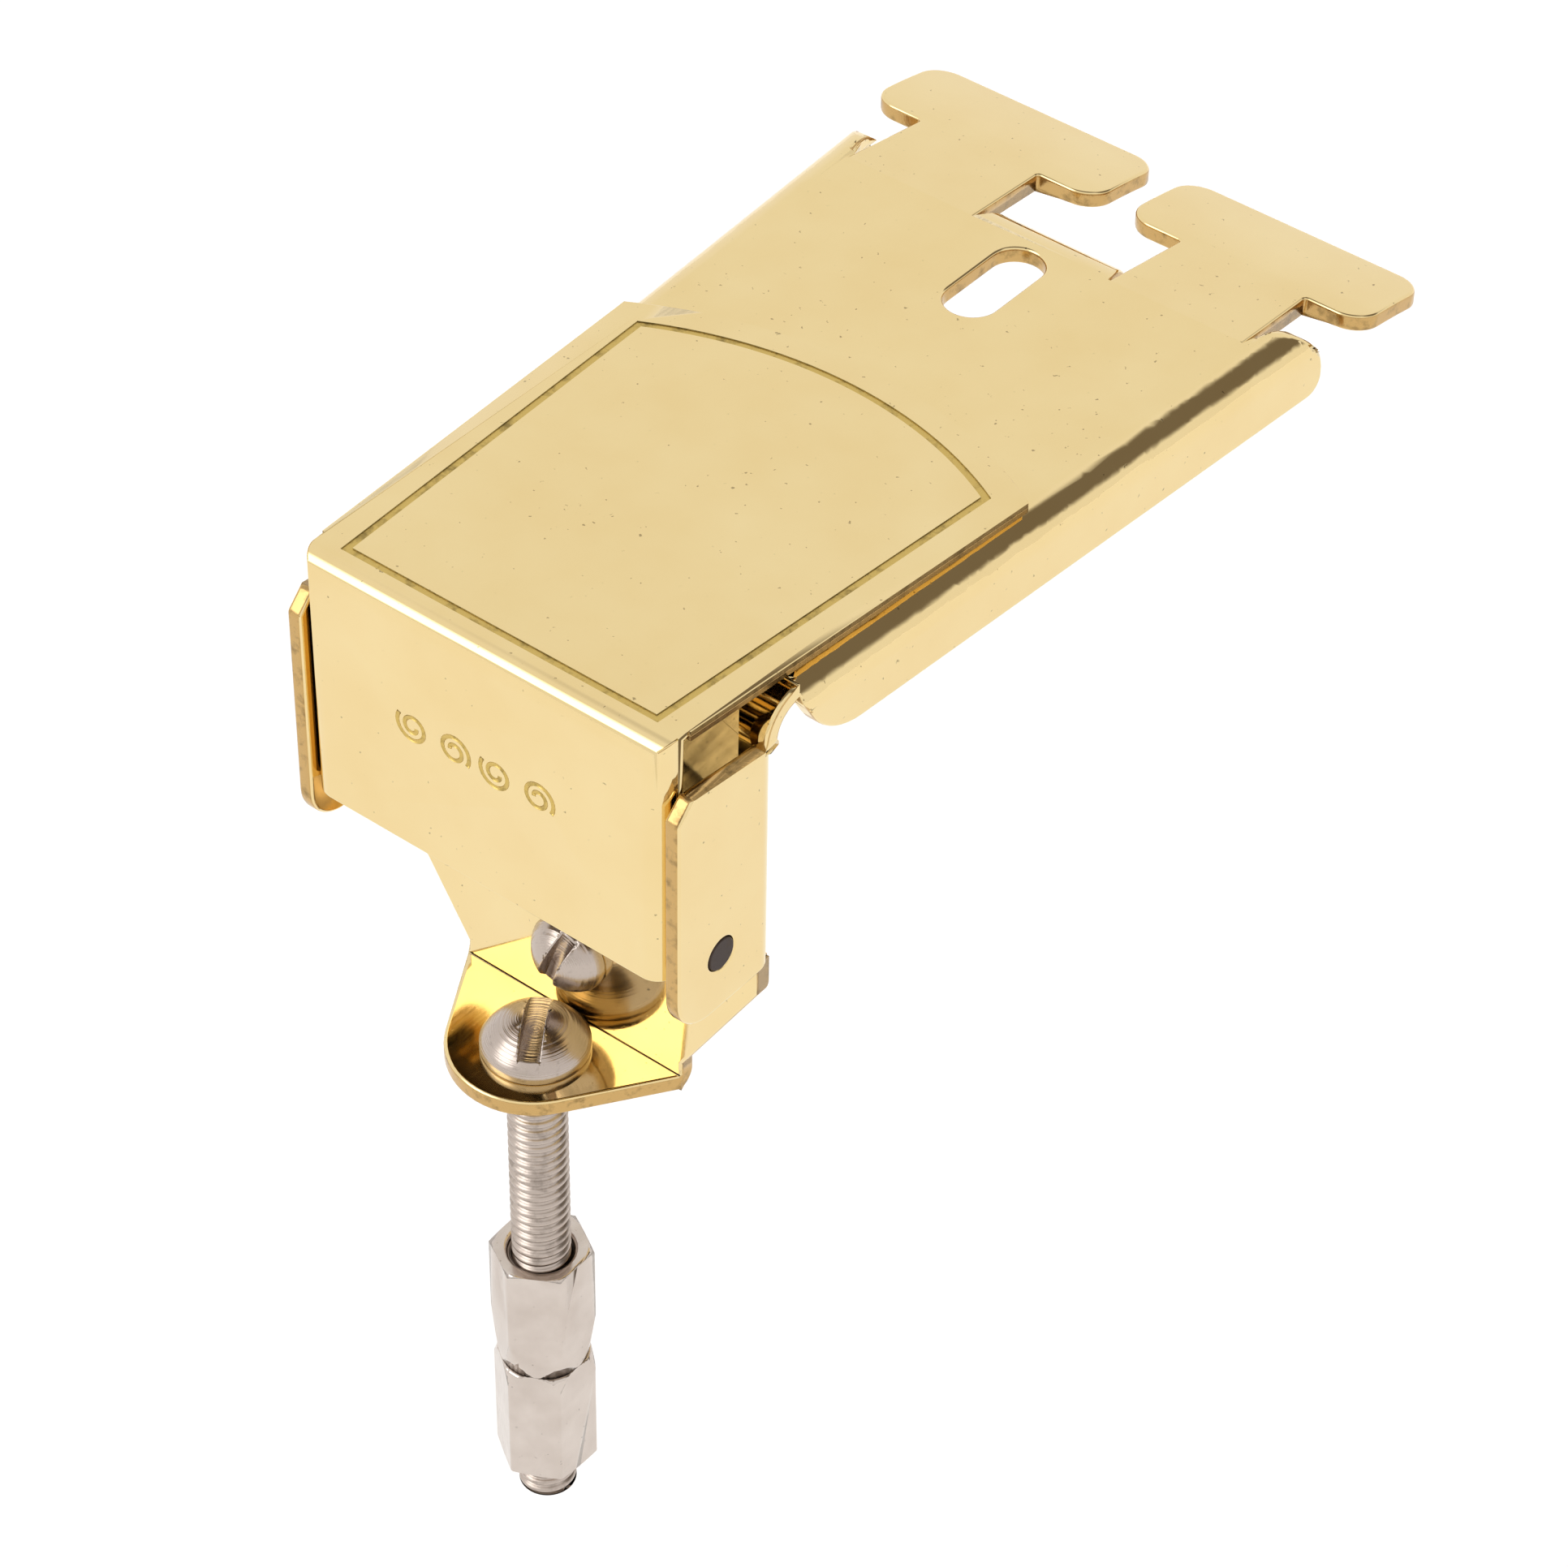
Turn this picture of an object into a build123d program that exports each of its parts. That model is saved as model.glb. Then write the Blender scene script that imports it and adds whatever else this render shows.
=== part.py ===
from build123d import *
import math
import os

# Banjo tailpiece with a hinged string cover, hung from one hanger bolt.
# Millimetres. X is across the strings, +Y points to the bridge, +Z is up.
# Origin: on the hanger bolt's axis, level with the underside of the rear tab.

# ---- base plate: one brass stamping ------------------------------------------------
sheet = 1.3               # thickness of the base stamping
fold_inner_r = 0.12       # inside radius of the fold between tab and web
web_rear_y = 3.85         # rear face of the upright web
neck_inner_r = 1.9        # inside radius of the bend from web to top plate
plate_top_z = 36.9        # top face of the plate above the origin, at the neck
plate_droop = 1.05        # degrees that the plate slopes down towards the bridge
plate_end_y = 52.9        # where the plate's front lip starts to turn down
lip_inner_r = 2.7
lip_turn = 58.0           # degrees that the front lip is turned down
lip_land = 0.8            # straight land past the lip's bend
web_half_w = 15.8         # outside of the ears
plate_rear_half_w = web_half_w + 0.52    # where its side rolls start
plate_flare = 0.0625      # half-width gained for each mm forward
flange_outer_r = 2.5      # outside radius of the rolled side edges
flange_lap = 0.3          # the rolls' flat tops reach this far over the plate
flange_depth = 5.6        # plate top to the bottom edge of a side roll
flange_start_y = 7.1      # rear end of a side roll, level with the plate
flange_neck = 1.5         # its rear end stays upright for this depth
flange_rake = 2.3         # and then slopes forward by this much
flange_rear_r = 5.0       # rounding of its bottom corner
flange_front_y = 58.4     # front end of a side roll
flange_nose_r = 4.1       # rounding of its front top corner
flange_toe_r = 1.4        # rounding of its front bottom corner
tab_half_w = 9.2          # tab at the fold
tab_end_r = 6.0           # round end of the tab
tab_end_x = -0.5          # its centre: the bolt hole is punched a little off centre
tab_end_y = 0.5
taper_top_half_w = web_half_w - 0.5      # web just under the ears
taper_top_z = 12.5
taper_bottom_z = 2.4      # and as narrow as the tab below this

# ---- ears that carry the hinge pin -------------------------------------------------
ear_rear_y = -4.4
ear_bottom_z = 15.1
ear_top_rear_z = 34.4
ear_top_front_z = 33.3
ear_chamfer = 1.3
ear_heel_r = 3.0
ear_t = 1.15              # ears are coined a little thinner than the sheet
ear_fold_r = 1.5          # outside radius where an ear folds out of the web

# ---- T tongues and slot -------------------------------------------------------------
stem_inner_x = 5.65       # stem sides at the slit roots
stem_outer_x = 16.5
stem_waist = 0.4          # each stem side draws in by this much at the head
slit_root_y = 52.9
slit_w = 0.75
slit_point = 3.4          # length of the pointed slit root
stem_drop = 0.9           # how far a stem falls from root to head
stem_bend_r = 2.0         # radius of the bend at its root
stem_lap = 4.0            # how far its strip runs back into the plate
head_rear_y = 60.9
head_front_y = 69.0
head_inner_x = 1.25
head_outer_x = 20.7
head_corner_r = 2.1
head_curl_r = 60.0        # gentle downward curl of a head
slot_w = 3.86
slot_len = 8.9
slot_centre_y = 47.8

# ---- string hooks lanced out of the web --------------------------------------------
hook_xs = (-9.9, -3.3, 3.3, 9.9)
hook_w = 2.2
hook_t = 1.0
hook_top_z = 30.6         # its root, level with the top of its window
hook_fall = 1.6           # drop from the root to the bend
hook_bend_r = 1.0
hook_lean = 0.3           # rearward lean of the tip
hook_reach = 3.1          # rearwards from the middle of the web
hook_tip = 3.0            # length of the turned-down tip
window_w = 2.8
window_h = 6.6
window_corner_r = 0.5

# ---- hinged cover -------------------------------------------------------------------
cover_t = 0.75
cover_rear_y = -4.5
cover_bottom_z = 19.0
cover_top_z = 38.42       # outside of the cover's top, above the origin
cover_droop = 2.28        # degrees that the cover's top slopes down forwards
cover_gap = 0.12          # beside its side walls, inside the ears
cover_half_w = web_half_w - ear_t - cover_gap
cover_flare = 0.0583
cover_side_y = 29.3       # front end of the cover's straight sides
cover_bow = 4.6           # rise of the curved front edge
cover_corner_r = 1.6      # outside radius of the bends round the rear wall
side_front_y = 2.75       # front end of a side wall
side_corner_r = 1.6       # rounding of its bottom front corner
border_inset = 2.0        # stamped line, in from the cover's edge
side_share = 0.6          # share of that inset at the front corners; the bow gives the rest
border_w = 0.55
border_depth = 0.08

# ---- hinge pin ----------------------------------------------------------------------
pin_r = 1.19
pin_y = -0.2
pin_z = 19.6
pin_play = 0.05           # radial running clearance in the cover's side walls

# ---- adjusting screw ----------------------------------------------------------------
adj_r = 1.75
adj_z = 7.2
adj_play = 0.04
adj_reach = 9.0           # past the web's front face
adj_tip = 0.35            # chamfer at its end
adj_head_r = 2.85
adj_head_rim = 0.6
adj_head_h = 2.55
adj_slot_w = 1.1
adj_slot_deep = 1.35
adj_slot_turn = 19.0      # degrees, top of the slot towards +X

# ---- hanger bolt and its nuts -------------------------------------------------------
bolt_r = 2.055
bolt_len = 43.4           # under the head
bolt_tip = 0.27
bolt_hole_r = 2.25
bolt_head_r = 3.7
bolt_head_rim = 0.65
bolt_head_h = 2.75
bolt_slot_w = 1.45
bolt_slot_deep = 1.25
bolt_slot_turn = -58.0
nut_flats = 6.35
nut_play = 0.05
nut_sink_r = 2.62         # countersunk mouth of the upper nut
upper_nut_top = -18.1
upper_nut_len = 10.1
upper_nut_taper = 3.7     # tapered nose of the upper nut
lower_nut_len = 10.5
lower_nut_taper = 1.5
nut_gap = 0.02
nut_break = 0.12          # corners turned off at a nut's plain ends
upper_nut_turn = 31.0
lower_nut_turn = 27.0

FAR = 60.0                # longer than anything it has to reach past
OVERLAP = 1.0             # how far joined pieces and cutters run into each other


def outline(points, radii=None):
    """Flat face over (x, y) points, each corner rounded by its own radius."""
    face = make_face(Polyline(*points, close=True))
    for point, radius in zip(points, radii or []):
        if radius:
            face = fillet(face.vertices().sort_by_distance((*point, 0))[0], radius)
    return face


def side_face(points, radii=None):
    """Face in the YZ plane from (y, z) points."""
    return Plane.YZ * outline(points, radii)


def end_face(points, radii=None, y=0.0):
    """Face square to Y from (x, z) points."""
    return Plane(origin=(0, y, 0), x_dir=(1, 0, 0), z_dir=(0, -1, 0)) * outline(points, radii)


def across(face, x0, x1):
    """Solid of a YZ face between two values of x."""
    return extrude(Pos(x0, 0, 0) * face, amount=x1 - x0, dir=(1, 0, 0))


def strip(path, width, thick):
    """Flat strip of sheet, bent along a centreline path in the YZ plane."""
    section = Plane(origin=path @ 0, x_dir=(1, 0, 0), z_dir=path % 0) * Rectangle(width, thick)
    return sweep(section, path=path)


def upright(points, corner_r=0.0, z0=-FAR, z1=FAR):
    """Vertical prism over (x, y) points, with all its corners rounded alike."""
    face = outline(points, [corner_r] * len(points))
    return extrude(Pos(0, 0, z0) * face, amount=z1 - z0)


def mirrored(shape):
    return shape + mirror(shape, about=Plane.YZ)


def plate_z(y):
    """Top face of the sloping plate."""
    return plate_top_z - y * math.tan(math.radians(plate_droop))


def plate_half_w(y):
    return plate_rear_half_w + plate_flare * (y - flange_start_y)


def cover_z(y):
    """Top face of the sloping cover."""
    return cover_top_z - y * math.tan(math.radians(cover_droop))


def cover_half(y):
    return cover_half_w + cover_flare * max(0.0, y - cover_rear_y)


def plate_line(y):
    """Point on the plate's mid-thickness line."""
    a = math.radians(plate_droop)
    return (0, y - sheet / 2 * math.sin(a), plate_z(y) - sheet / 2 * math.cos(a))


def base_strip():
    """Tab, web, neck, plate and turned-down lip as one bent strip."""
    mid_web_y = web_rear_y + sheet / 2
    tab_r = fold_inner_r + sheet / 2
    neck_r = neck_inner_r + sheet / 2
    lip_r = lip_inner_r + sheet / 2
    lean = math.radians(plate_droop)
    neck_z = plate_z(mid_web_y) - sheet / 2 / math.cos(lean)
    down = math.radians(plate_droop + lip_turn)
    bend = Vector(*plate_line(plate_end_y))
    corner = bend + Vector(0, math.cos(lean), -math.sin(lean)) * lip_r * math.tan(math.radians(lip_turn / 2))
    land = lip_r * math.tan(math.radians(lip_turn / 2)) + lip_land
    end = corner + Vector(0, math.cos(down), -math.sin(down)) * land
    path = FilletPolyline(
        (0, -FAR, sheet / 2),
        (0, mid_web_y, sheet / 2),
        (0, mid_web_y, neck_z),
        corner,
        end,
        radius=[tab_r, neck_r, lip_r],
    )
    return strip(path, 2 * FAR, sheet)


def tab_touch(side):
    """Where the tab's straight edge on one side meets its round end."""
    run = tab_half_w - side * tab_end_x
    rise = web_rear_y - tab_end_y
    turn = math.atan2(rise, run) - math.acos(tab_end_r / math.hypot(run, rise))
    return (tab_end_x + side * tab_end_r * math.cos(turn), tab_end_y + tab_end_r * math.sin(turn))


def base_outline():
    """What the blank's outline leaves of the bent strip."""
    roll_x = flange_outer_r + flange_lap
    front = upright([
        (-web_half_w, web_rear_y), (web_half_w, web_rear_y), (web_half_w, flange_start_y),
        (plate_half_w(flange_start_y) - roll_x, flange_start_y), (plate_half_w(FAR) - roll_x, FAR),
        (-plate_half_w(FAR) + roll_x, FAR), (-plate_half_w(flange_start_y) + roll_x, flange_start_y),
        (-web_half_w, flange_start_y)])
    disc = Pos(tab_end_x, tab_end_y, 0) * Cylinder(tab_end_r, FAR)
    left = tab_touch(-1)
    right = tab_touch(1)
    tongue = upright([left, right, (tab_half_w, web_rear_y), (-tab_half_w, web_rear_y)])
    web = end_face([
        (-tab_half_w, -FAR), (tab_half_w, -FAR), (tab_half_w, taper_bottom_z),
        (taper_top_half_w, taper_top_z), (taper_top_half_w, ear_bottom_z), (web_half_w, ear_bottom_z),
        (web_half_w, ear_top_front_z), (FAR, ear_top_front_z), (FAR, FAR), (-FAR, FAR),
        (-FAR, ear_top_front_z), (-web_half_w, ear_top_front_z), (-web_half_w, ear_bottom_z),
        (-taper_top_half_w, ear_bottom_z), (-taper_top_half_w, taper_top_z), (-tab_half_w, taper_bottom_z)])
    web = extrude(web, amount=FAR * 2, both=True)
    return (front + disc + tongue) & web


def side_roll():
    """Rolled edge on the +X side, parallel to the flaring edge of the plate."""
    y0 = flange_start_y - OVERLAP
    y1 = flange_front_y + OVERLAP
    x = plate_half_w(y0)
    z = plate_z(y0)
    root = x - flange_outer_r - sheet
    profile = end_face(
        [(root, z), (x, z), (x, z - flange_depth), (x - sheet, z - flange_depth),
         (x - sheet, z - sheet), (root, z - sheet)],
        [0, flange_outer_r, 0, 0, flange_outer_r - sheet, 0], y0)
    along = Vector(plate_flare, 1, -math.tan(math.radians(plate_droop)))
    body = extrude(profile, amount=(y1 - y0) * along.length, dir=along.normalized())
    low = [plate_z(y) - flange_depth for y in (flange_start_y, flange_front_y)]
    side = side_face(
        [(flange_start_y, z), (flange_start_y, z - flange_neck), (flange_start_y + flange_rake, low[0]),
         (flange_front_y, low[1]), (flange_front_y, plate_z(flange_front_y))],
        [0, 0, flange_rear_r, flange_toe_r, flange_nose_r])
    return body & across(side, 0, FAR)


def ear():
    """Ear on the +X side, folded rearwards out of the web."""
    front_y = web_rear_y + sheet
    side = side_face(
        [(front_y, ear_bottom_z), (ear_rear_y, ear_bottom_z),
         (ear_rear_y, ear_top_rear_z - ear_chamfer), (ear_rear_y + ear_chamfer, ear_top_rear_z),
         (front_y, ear_top_front_z)],
        [0, ear_heel_r, 0, 0, 0])
    return across(side, web_half_w - ear_t, web_half_w)


def ear_fold_waste():
    """What the round outside of an ear's fold takes off the square corner."""
    x = web_half_w - ear_fold_r
    y = web_rear_y + sheet - ear_fold_r
    far = 2 * ear_fold_r
    square = upright([(x, y), (x + far, y), (x + far, y + far), (x, y + far)],
                     z0=ear_bottom_z, z1=ear_top_front_z)
    return square - Pos(x, y, 0) * Cylinder(ear_fold_r, 2 * FAR)


def curled(start, fall, turn):
    """Point on a head's curl, after it has turned down by an angle from its rear edge."""
    slope = fall + turn / 2
    return start + Vector(0, math.cos(slope), -math.sin(slope)) * 2 * head_curl_r * math.sin(turn / 2)


def tongue_blank():
    """The +X T tongue: stem and head, cut from their own gently curled strip."""
    root_y = slit_root_y - stem_lap
    lean = math.radians(plate_droop)
    start = Vector(*plate_line(root_y))
    root = Vector(*plate_line(slit_root_y))
    head = Vector(0, head_rear_y, plate_line(head_rear_y)[2] - stem_drop)
    fall = math.atan2(root.Z - head.Z, head.Y - root.Y)
    turn = (head_front_y - head_rear_y + OVERLAP) / head_curl_r
    mid = curled(head, fall, turn / 2)
    end = curled(head, fall, turn)
    slope = FilletPolyline(start, root, head, radius=stem_bend_r)
    path = Wire([*slope.edges(), ThreePointArc(head, mid, end)])
    body = strip(path, 2 * FAR, sheet)
    stem = upright([
        (stem_inner_x, root_y), (stem_outer_x, root_y), (stem_outer_x, slit_root_y),
        (stem_outer_x - stem_waist, head_rear_y + OVERLAP),
        (stem_inner_x + stem_waist, head_rear_y + OVERLAP),
        (stem_inner_x, slit_root_y)])
    bar = upright([(head_inner_x, head_rear_y), (head_outer_x, head_rear_y),
                   (head_outer_x, head_front_y), (head_inner_x, head_front_y)], head_corner_r)
    return body & (stem + bar)


def slit(x, side):
    """Pointed slit beside a stem; side is the way it opens from the stem's edge."""
    inner = x
    outer = x + side * slit_w
    return upright([(inner, slit_root_y), (inner, slit_root_y + FAR),
                    (outer, slit_root_y + FAR), (outer, slit_root_y + slit_point)])


def hook(x):
    """String hook: rearwards out of the web, then down."""
    y = web_rear_y + sheet / 2
    z = hook_top_z - hook_fall
    path = FilletPolyline(
        (x, y, hook_top_z), (x, y - hook_reach, z), (x, y - hook_reach - hook_lean, z - hook_tip),
        radius=hook_bend_r)
    return strip(path, hook_w, hook_t)


def hook_window(x):
    """Window that a hook was lanced out of."""
    z = hook_top_z - window_h / 2
    hole = Pos(x, web_rear_y + sheet / 2, z) * Box(window_w, sheet * 2, window_h)
    return fillet(hole.edges().filter_by(Axis.Y), window_corner_r)


def base_plate():
    body = base_strip() & base_outline()
    body += mirrored(side_roll())
    body += mirrored(ear())
    body -= mirrored(ear_fold_waste())
    stem_gap = upright([(stem_inner_x, slit_root_y), (stem_outer_x, slit_root_y),
                        (stem_outer_x, FAR), (stem_inner_x, FAR)])
    body -= mirrored(stem_gap + slit(stem_inner_x, -1) + slit(stem_outer_x, 1))
    body += mirrored(tongue_blank())
    slot = Pos(0, slot_centre_y, plate_z(slot_centre_y)) * Rot(0, 0, 90) * SlotOverall(slot_len, slot_w)
    body -= extrude(slot, amount=2 * sheet, both=True)
    for x in hook_xs:
        body -= hook_window(x)
        body += hook(x)
    body -= Cylinder(bolt_hole_r, 4 * sheet)
    body -= Pos(0, pin_y, pin_z) * Rot(0, 90, 0) * Cylinder(pin_r, 4 * web_half_w)
    body -= Pos(0, web_rear_y + sheet / 2, adj_z) * Rot(90, 0, 0) * Cylinder(adj_r + adj_play, 4 * sheet)
    return body


def cover_plan(inset, z0=-FAR, z1=FAR):
    """Prism over the plan of the cover's top, drawn in by inset."""
    y0 = cover_rear_y + inset
    y1 = cover_side_y - inset * side_share
    bow = cover_bow - inset * (1 - side_share)
    rear = cover_half(y0) - inset
    front = cover_half(y1) - inset
    edge = [
        Line((-front, y1), (-rear, y0)), Line((-rear, y0), (rear, y0)), Line((rear, y0), (front, y1)),
        ThreePointArc((front, y1), (0, y1 + bow), (-front, y1))]
    face = make_face(edge)
    return extrude(Pos(0, 0, z0) * face, amount=z1 - z0)


def cover_box(grow):
    """Rear box of the cover, drawn in by grow, with its formed corners; open in front and below."""
    open_run = 4.0
    half = cover_half_w - grow
    y0 = cover_rear_y + grow
    y1 = side_front_y + grow * open_run
    z0 = cover_bottom_z - grow * open_run
    side = side_face([(y0, z0), (y1, z0), (y1, cover_z(y1) - grow), (y0, cover_z(y0) - grow)],
                     [0, side_corner_r, 0, 0])
    body = across(side, -half, half)
    rim = [e for e in body.edges() if e.center().Y < y0 + OVERLAP and e.center().Z > z0 + OVERLAP]
    return fillet(rim, cover_corner_r - grow)


def border_groove():
    """Shallow stamped line that follows the edge of the cover's top."""
    ring = cover_plan(border_inset) - cover_plan(border_inset + border_w)
    skin = across(side_face([
        (cover_rear_y, cover_z(cover_rear_y) + OVERLAP), (FAR, cover_z(FAR) + OVERLAP),
        (FAR, cover_z(FAR) - border_depth),
        (cover_rear_y, cover_z(cover_rear_y) - border_depth)]), -FAR, FAR)
    return ring & skin


def string_cover():
    box = cover_box(0.0) - cover_box(cover_t)
    start = cover_rear_y + cover_corner_r + OVERLAP
    slab = across(side_face([
        (start, cover_z(start)), (FAR, cover_z(FAR)),
        (FAR, cover_z(FAR) - cover_t), (start, cover_z(start) - cover_t)]), -FAR, FAR)
    body = box + (slab & cover_plan(0.0))
    body -= Pos(0, pin_y, pin_z) * Rot(0, 90, 0) * Cylinder(pin_r + pin_play, 4 * web_half_w)
    return body - border_groove()


def hinge_pin():
    return Pos(0, pin_y, pin_z) * Rot(0, 90, 0) * Cylinder(pin_r, 2 * web_half_w)


def domed_head(radius, rim, height, slot_w_, slot_deep, slot_turn):
    """Slotted head with a short straight rim and a domed top, standing on z = 0."""
    rise = height - rim
    dome_r = (radius ** 2 + rise ** 2) / (2 * rise)
    head = Cylinder(radius, height, align=(Align.CENTER, Align.CENTER, Align.MIN))
    head &= Pos(0, 0, height - dome_r) * Sphere(dome_r)
    slot = Pos(0, 0, height) * Rot(0, 0, slot_turn) * Box(3 * radius, slot_w_, 2 * slot_deep)
    return head - slot


def adjusting_screw():
    head = domed_head(adj_head_r, adj_head_rim, adj_head_h, adj_slot_w, adj_slot_deep, 90 - adj_slot_turn)
    length = sheet + adj_reach
    shank = Cylinder(adj_r, length, align=(Align.CENTER, Align.CENTER, Align.MAX))
    tip = shank.edges().filter_by(GeomType.CIRCLE).sort_by(Axis.Z)[0]
    shank = chamfer(tip, adj_tip)
    return Pos(0, web_rear_y, adj_z) * Rot(90, 0, 0) * (head + shank)


def hanger_bolt():
    head = domed_head(bolt_head_r, bolt_head_rim, bolt_head_h, bolt_slot_w, bolt_slot_deep, bolt_slot_turn)
    shank = Cylinder(bolt_r, bolt_len, align=(Align.CENTER, Align.CENTER, Align.MAX))
    tip = shank.edges().filter_by(GeomType.CIRCLE).sort_by(Axis.Z)[0]
    shank = chamfer(tip, bolt_tip)
    return Pos(0, 0, sheet) * (head + shank)


def hex_nut(length, turn, top_cone, bottom_cone):
    """Hex nut hanging below z = 0, with its corners turned off at either end."""
    corner_r = nut_flats / math.sqrt(3)
    blank = extrude(Rot(0, 0, turn) * RegularPolygon(corner_r, 6), amount=-length)
    inner_r = nut_flats / 2
    shape = end_face([
        (0, 0), (inner_r, 0), (corner_r, -top_cone), (corner_r, -length + bottom_cone),
        (inner_r, -length), (0, -length)])
    return (blank & revolve(shape, Axis.Z)) - Cylinder(bolt_r + nut_play, 3 * length)


def upper_nut():
    body = hex_nut(upper_nut_len, upper_nut_turn, nut_break, upper_nut_taper)
    mouth = Cone(bolt_r + nut_play, nut_sink_r, nut_sink_r - bolt_r - nut_play,
                 align=(Align.CENTER, Align.CENTER, Align.MAX))
    return Pos(0, 0, upper_nut_top) * (body - mouth)


def lower_nut():
    top = upper_nut_top - upper_nut_len - nut_gap
    return Pos(0, 0, top) * hex_nut(lower_nut_len, lower_nut_turn, lower_nut_taper, nut_break)


parts = {
    "base_plate": base_plate,
    "string_cover": string_cover,
    "hinge_pin": hinge_pin,
    "adjusting_screw": adjusting_screw,
    "hanger_bolt": hanger_bolt,
    "upper_nut": upper_nut,
    "lower_nut": lower_nut,
}

os.makedirs("parts", exist_ok=True)
for name, make in parts.items():
    export_step(make(), f"parts/{name}.step")
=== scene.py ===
import math

import bmesh
import bpy
from bpy.props import FloatProperty, FloatVectorProperty, IntProperty, PointerProperty
from mathutils import Matrix, Vector
from mathutils.bvhtree import BVHTree


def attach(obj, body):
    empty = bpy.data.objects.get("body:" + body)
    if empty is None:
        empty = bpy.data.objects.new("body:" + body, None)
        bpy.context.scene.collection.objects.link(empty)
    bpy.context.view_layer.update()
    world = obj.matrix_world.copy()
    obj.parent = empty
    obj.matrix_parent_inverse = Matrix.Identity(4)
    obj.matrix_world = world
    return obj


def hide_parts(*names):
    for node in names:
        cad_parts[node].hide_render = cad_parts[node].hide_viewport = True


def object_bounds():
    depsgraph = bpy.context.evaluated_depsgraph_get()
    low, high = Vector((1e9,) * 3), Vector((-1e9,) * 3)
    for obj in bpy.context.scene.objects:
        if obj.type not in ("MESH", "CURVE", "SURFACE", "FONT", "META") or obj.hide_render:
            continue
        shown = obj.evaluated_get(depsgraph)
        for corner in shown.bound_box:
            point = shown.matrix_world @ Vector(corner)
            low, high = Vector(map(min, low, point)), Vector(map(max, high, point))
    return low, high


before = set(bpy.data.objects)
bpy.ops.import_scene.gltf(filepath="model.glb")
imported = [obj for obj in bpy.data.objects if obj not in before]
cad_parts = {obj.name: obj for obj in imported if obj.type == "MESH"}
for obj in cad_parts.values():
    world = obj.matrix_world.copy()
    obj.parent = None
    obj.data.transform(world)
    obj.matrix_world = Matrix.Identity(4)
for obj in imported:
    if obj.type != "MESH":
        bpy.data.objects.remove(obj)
CAD_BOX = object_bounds()

bl_info = {
    "name": "Banjo Tailpiece",
    "version": (1, 0, 0),
    "blender": (4, 5, 0),
    "location": "View3D > Sidebar > Tailpiece",
    "description": "Builds a polished brass banjo tailpiece around its CAD frame",
    "category": "Object",
}

MM = 0.001
TAU = 2.0 * math.pi
MERGE = 4e-6              # CAD triangles are joined where they are this close, metres
FLAT_DEG = 1.0            # CAD faces that meet at less than this are one face
WELD = 0.002 * MM         # a generated mesh's points are joined where they are this close


def srgb(code, alpha=1.0):
    """Turns an sRGB hex colour such as EAD49B into linear values."""
    values = [int(code[i:i + 2], 16) / 255.0 for i in (0, 2, 4)]
    return tuple(v / 12.92 if v <= 0.04045 else ((v + 0.055) / 1.055) ** 2.4 for v in values) + (alpha,)


def colour(name, code, text):
    """A colour property in linear values, with the hex code as its default."""
    return FloatVectorProperty(name=name, description=text, default=srgb(code), size=4,
                               min=0.0, max=1.0, subtype="COLOR")


def length(name, value_mm, text):
    return FloatProperty(name=name, description=text, default=value_mm * MM, min=0.0,
                         precision=5, unit="LENGTH")


# ---- what a user would change -----------------------------------------------------------


class TailpieceSizes(bpy.types.PropertyGroup):
    sheet_round: length("Sheet edge round", 0.26, "Tumbled rounding of the base stamping's edges")
    cover_round: length("Cover edge round", 0.10, "Rounding of the thin cover's edges")
    head_round: length("Screw head round", 0.12, "Rounding of the screw heads' edges")
    nut_round: length("Nut edge round", 0.14, "Rounding of the nuts' edges")
    thread_pitch: length("Bolt thread pitch", 0.794, "Pitch of the hanger bolt's thread")
    thread_depth: length("Bolt thread depth", 0.36, "Crest to root of the hanger bolt's thread")
    screw_pitch: length("Screw thread pitch", 0.635, "Pitch of the adjusting screw's thread")
    screw_depth: length("Screw thread depth", 0.32, "Crest to root of the adjusting screw's thread")
    engraving_depth: length("Engraving depth", 0.09, "Depth of the ornament on the cover's rear wall")
    engraving_width: length("Engraving width", 0.34, "Width of the ornament's cut line")
    thread_sides: IntProperty(name="Thread sides", description="Faces round a thread", default=48,
                              min=12, max=96)


class TailpieceFinishes(bpy.types.PropertyGroup):
    brass: colour("Polished brass", "F1DCA8", "Mirror-polished faces of the brass")
    brass_deep: colour("Brass shade", "E9CE93", "Slow drift of the brass towards gold")
    brass_engraved: colour("Engraved brass", "D2B568", "Cut lines in the brass, a little greener")
    brass_edge: colour("Sheared brass", "C9A56A", "Sheared edges of the brass sheet")
    stain: colour("Polish residue", "4A3A22", "Dark residue in pits and sheared edges")
    nickel: colour("Nickel plate", "DCD2CA", "Bright nickel plate")
    nickel_shade: colour("Nickel shade", "BFB2A8", "Slow drift of the nickel plate")
    grime: colour("Thread grime", "6E6258", "Dirt in thread roots and slots")
    pin: colour("Dark steel", "4A403C", "Dull end of the hinge pin")
    floor: colour("Floor", "FFFFFF", "Pale studio floor")


# ---- meshes -----------------------------------------------------------------------------


def new_object(name, mesh):
    obj = bpy.data.objects.new(name, mesh)
    bpy.context.scene.collection.objects.link(obj)
    return obj


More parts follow.
